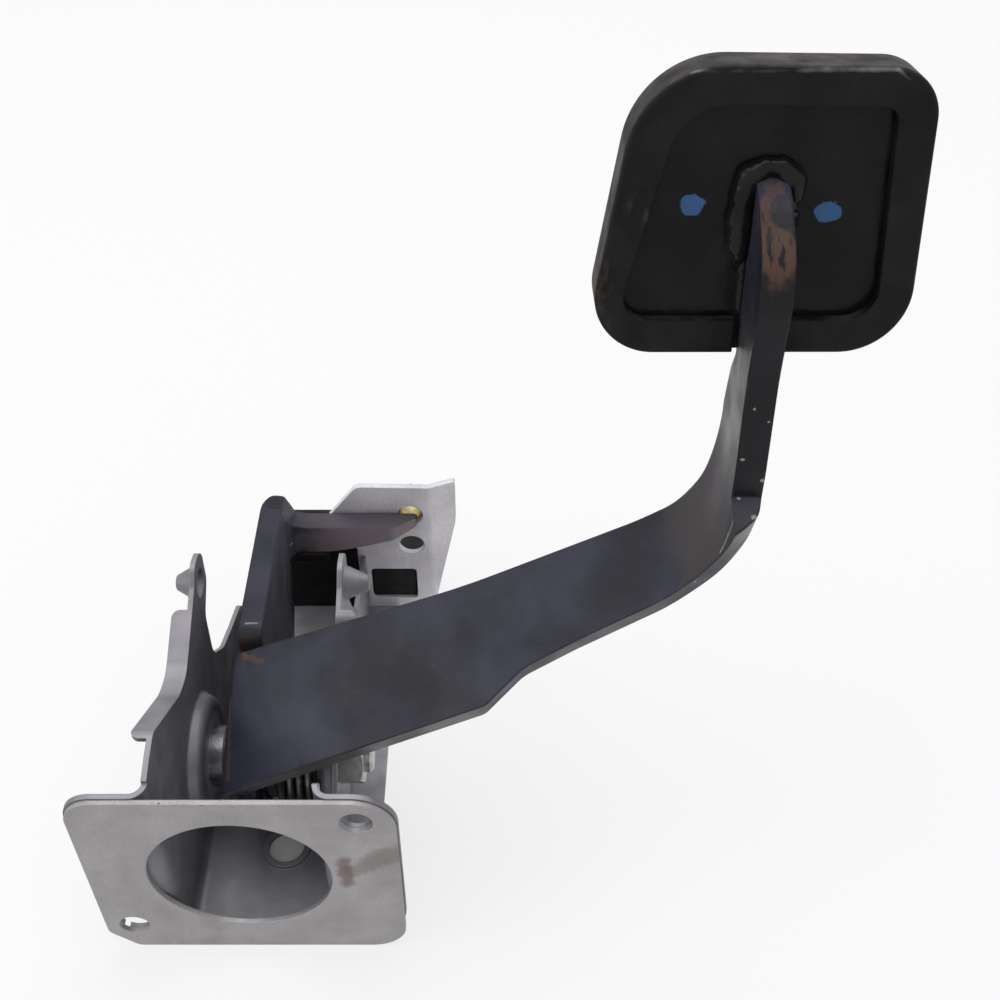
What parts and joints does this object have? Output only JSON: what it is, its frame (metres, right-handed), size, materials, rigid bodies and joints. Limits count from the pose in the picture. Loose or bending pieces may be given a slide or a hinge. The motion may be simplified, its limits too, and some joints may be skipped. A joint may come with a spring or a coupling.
{
  "type": "clutch pedal",
  "caption": "Car clutch pedal: a cranked black arm with a ribbed rubber pad, hinged in a folded sheet-steel bracket with a front fixing flange and a rubber up-stop.",
  "frame": {"origin": "centre of the large hole in the fixing flange, at the flange's front face", "axes": "+X to the side the arm cranks towards, -Y out of the flange's front face, +Z away from the bracket's web, towards the pad"},
  "size_m": [0.2032, 0.143, 0.2377],
  "materials": {
    "plated_sheet": "dull zinc plating, slightly mottled",
    "black_paint": "semi-gloss black paint, chipped on the edges",
    "rubber": "dull black rubber",
    "zinc_fastener": "zinc plated",
    "bush_plastic": "black nylon",
    "spring_steel": "dark oiled spring wire"
  },
  "bodies": {
    "bracket": {"flange_plate": "plated_sheet", "channel_bracket": "plated_sheet", "rear_plate": "plated_sheet", "rear_weld_nut": "zinc_fastener", "stop_bumper": "rubber", "pivot_bolt": "zinc_fastener", "pivot_nut": "zinc_fastener", "pivot_washers": "zinc_fastener", "spacer_sleeve": "zinc_fastener", "return_spring": "spring_steel"},
    "pedal": {"pedal_arm": "black_paint", "pivot_hub": "black_paint", "bush_left": "bush_plastic", "bush_right": "bush_plastic", "pad_plate": "black_paint", "pad_rubber": "rubber"}
  },
  "joints": [
    {"name": "pedal_pivot", "type": "hinge", "parent": "bracket", "child": "pedal", "pos_m": [0, 0.047, -0.0105], "axis": [1, 0, 0], "range_deg": [0, 24], "stiffness_Nm_per_rad": 1.2, "springref_deg": -57.3, "deforming": ["return_spring"]}
  ]
}
